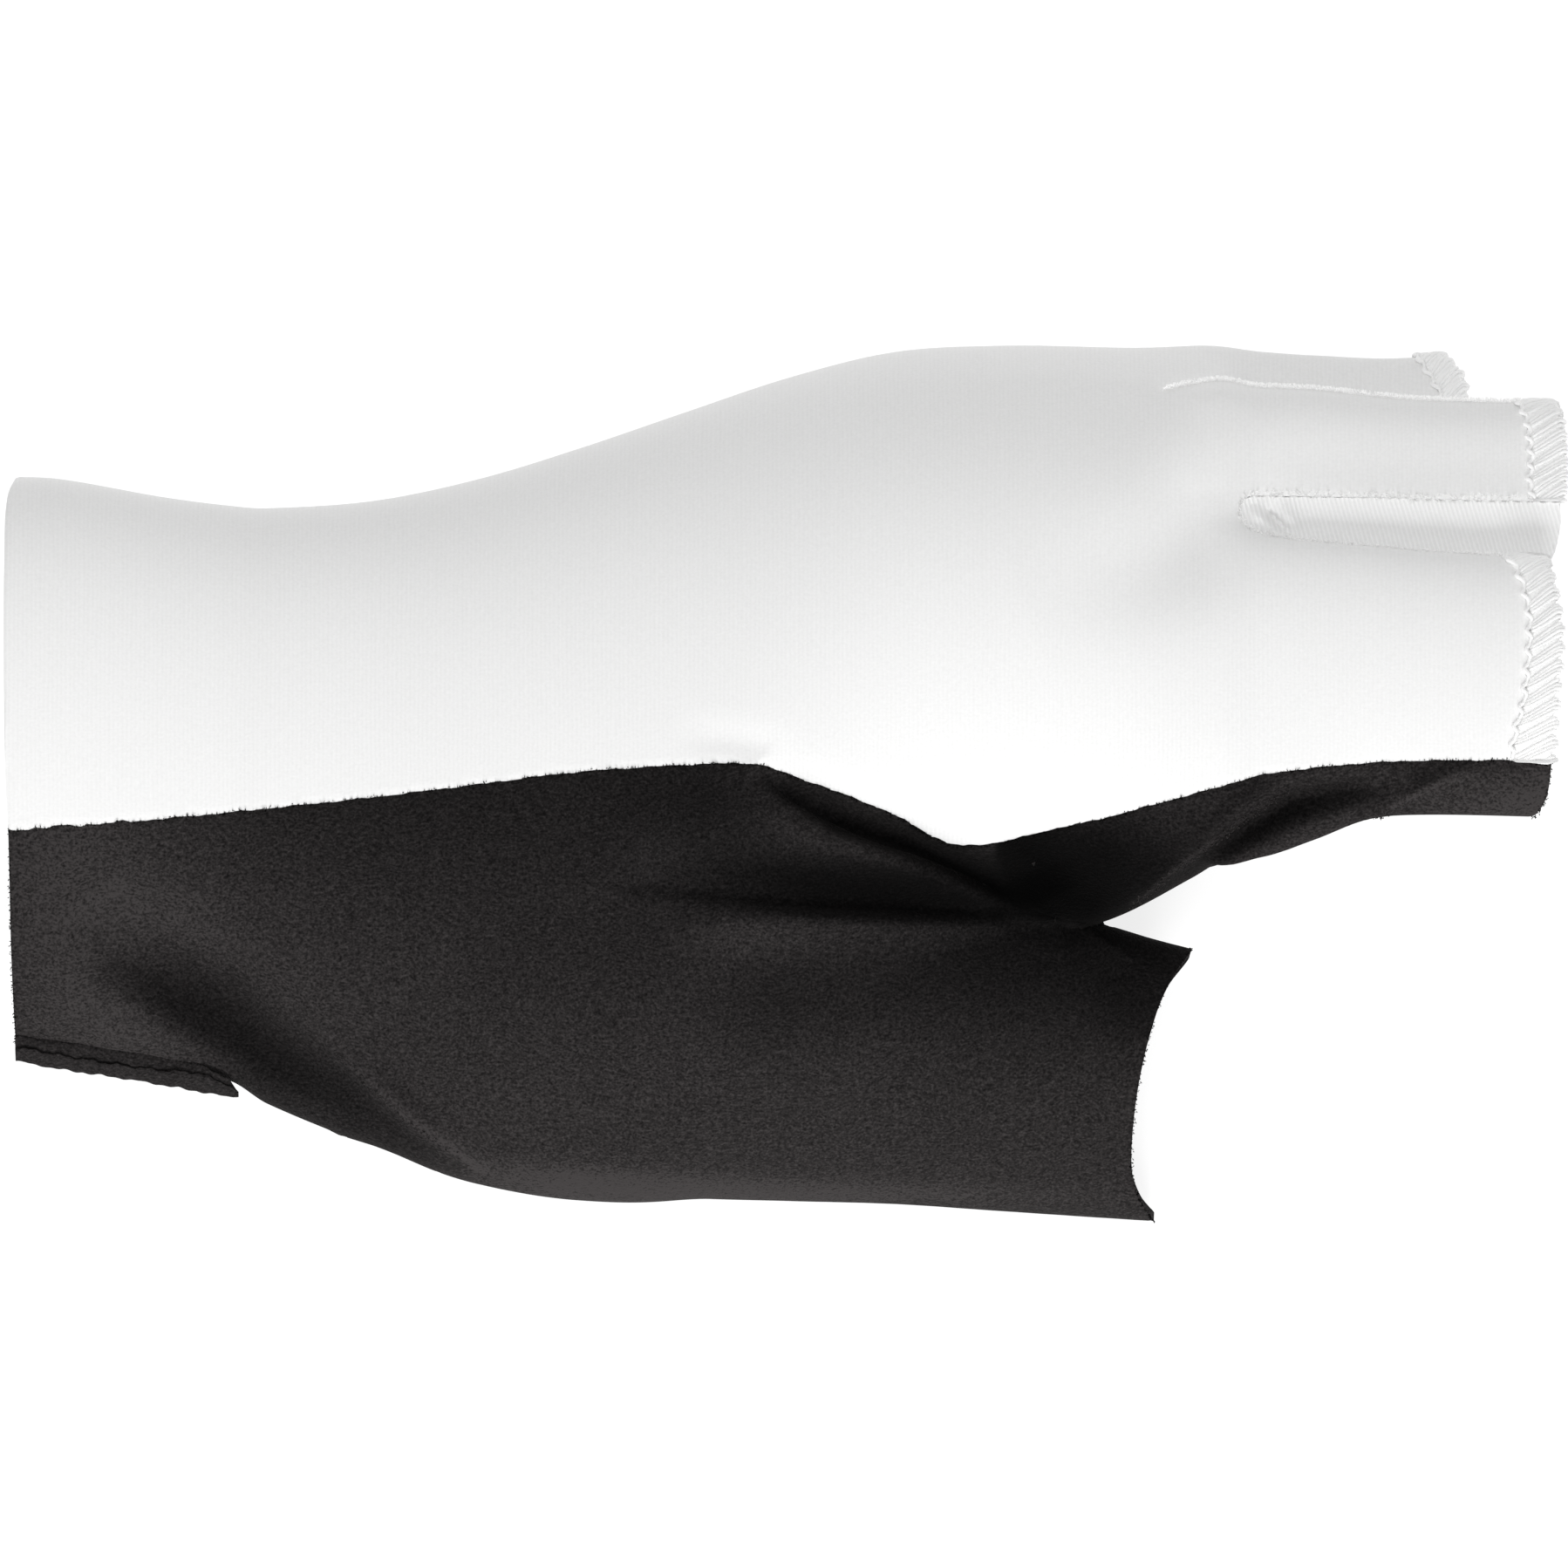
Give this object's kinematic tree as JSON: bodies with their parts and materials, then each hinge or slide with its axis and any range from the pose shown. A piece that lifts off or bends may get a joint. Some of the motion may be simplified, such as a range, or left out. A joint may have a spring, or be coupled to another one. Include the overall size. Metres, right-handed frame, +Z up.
{
  "type": "fingerless cycling glove",
  "caption": "Long-cuffed fingerless cycling glove for the left hand: white ribbed knit back, black suede palm and thumb, overlocked finger ends.",
  "frame": {"origin": "on the table under the middle of the glove's outline, the glove lying on its little-finger side", "axes": "+X from the wrist opening to the fingertips, +Y to the back of the hand, +Z up from the table to the thumb side"},
  "size_m": [0.1968, 0.1108, 0.0474],
  "materials": {
    "knit": "white stretch knit with fine ribs, matt",
    "suede": "black synthetic suede with a short nap",
    "thread": "white overlock thread"
  },
  "bodies": {
    "root": {"back_panel": "knit", "palm_panel": "suede", "thumb_panel": "suede", "strip_index_middle": "knit", "strip_middle_ring": "knit", "strip_ring_pinky": "knit", "hem_index": "thread", "hem_middle": "thread", "hem_ring": "thread", "hem_pinky": "thread", "cuff_seam": "suede"}
  },
  "joints": []
}
